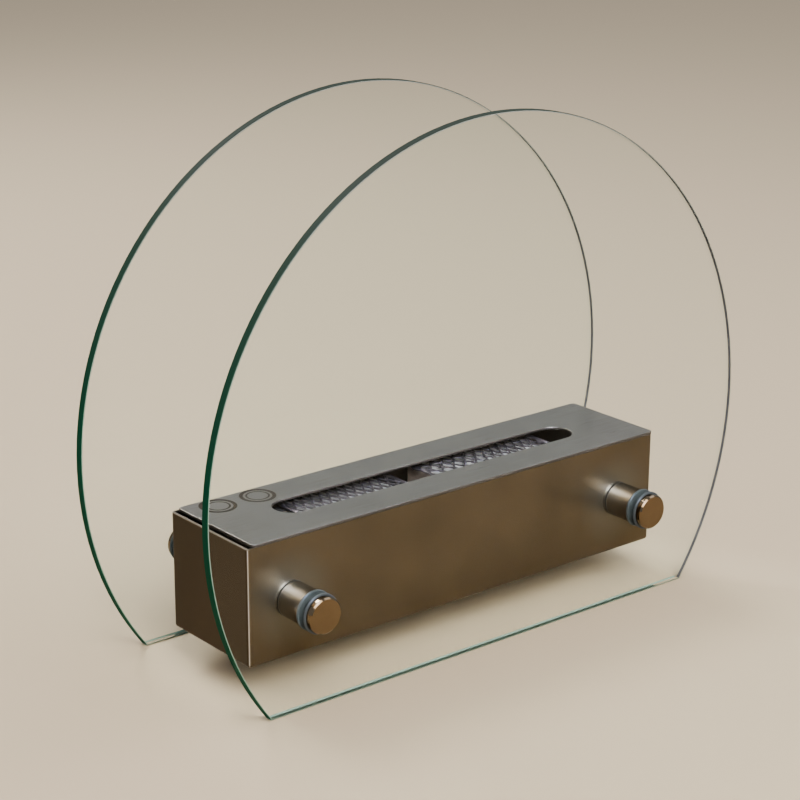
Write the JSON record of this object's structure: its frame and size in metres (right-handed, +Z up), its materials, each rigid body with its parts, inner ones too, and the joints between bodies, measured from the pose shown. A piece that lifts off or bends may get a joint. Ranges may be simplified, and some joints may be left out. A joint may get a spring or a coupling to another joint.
{
  "type": "tabletop bioethanol fireplace",
  "caption": "Tabletop bioethanol fireplace: a steel burner casing on standoffs between two upright round glass panes, with a lift-out slot burner.",
  "frame": {"origin": "centre of the footprint, on the surface that the panes stand on", "axes": "+X along the casing to the right, +Y from the front pane to the rear pane, +Z up"},
  "size_m": [0.35, 0.125, 0.279],
  "materials": {
    "float_glass": "clear float glass with polished edges that look green",
    "casing_steel": "satin stainless steel sheet",
    "standoff_steel": "fine turned satin stainless steel",
    "polished_cap": "mirror polished stainless steel",
    "clear_washer_plastic": "clear soft plastic",
    "screw_steel": "plain stainless steel",
    "burner_plate_steel": "brushed stainless steel",
    "tank_steel": "stainless steel dulled by heat",
    "burner_mesh_steel": "expanded steel mesh darkened by heat",
    "ceramic_wool": "white ceramic fibre wool"
  },
  "bodies": {
    "stand": {"front_glass_pane": "float_glass", "rear_glass_pane": "float_glass", "casing": "casing_steel", "standoff_base_ring_front_left": "standoff_steel", "standoff_base_ring_front_right": "standoff_steel", "standoff_base_ring_rear_left": "standoff_steel", "standoff_base_ring_rear_right": "standoff_steel", "standoff_barrel_front_left": "standoff_steel", "standoff_barrel_front_right": "standoff_steel", "standoff_barrel_rear_left": "standoff_steel", "standoff_barrel_rear_right": "standoff_steel", "glass_bush_front_left": "clear_washer_plastic", "glass_bush_front_right": "clear_washer_plastic", "glass_bush_rear_left": "clear_washer_plastic", "glass_bush_rear_right": "clear_washer_plastic", "outer_washer_front_left": "clear_washer_plastic", "outer_washer_front_right": "clear_washer_plastic", "outer_washer_rear_left": "clear_washer_plastic", "outer_washer_rear_right": "clear_washer_plastic", "end_cap_front_left": "polished_cap", "end_cap_front_right": "polished_cap", "end_cap_rear_left": "polished_cap", "end_cap_rear_right": "polished_cap", "casing_screws": "screw_steel", "screw_washers": "screw_steel"},
    "burner": {"burner_top_plate": "burner_plate_steel", "fuel_tank": "tank_steel", "filler_channel": "tank_steel", "burner_mesh_left": "burner_mesh_steel", "burner_mesh_right": "burner_mesh_steel", "wool_pad_left": "ceramic_wool", "wool_pad_right": "ceramic_wool"}
  },
  "joints": [
    {"name": "burner_lift", "type": "slide", "parent": "stand", "child": "burner", "axis": [0, 0, 1], "range_m": [0, 0.25]}
  ]
}
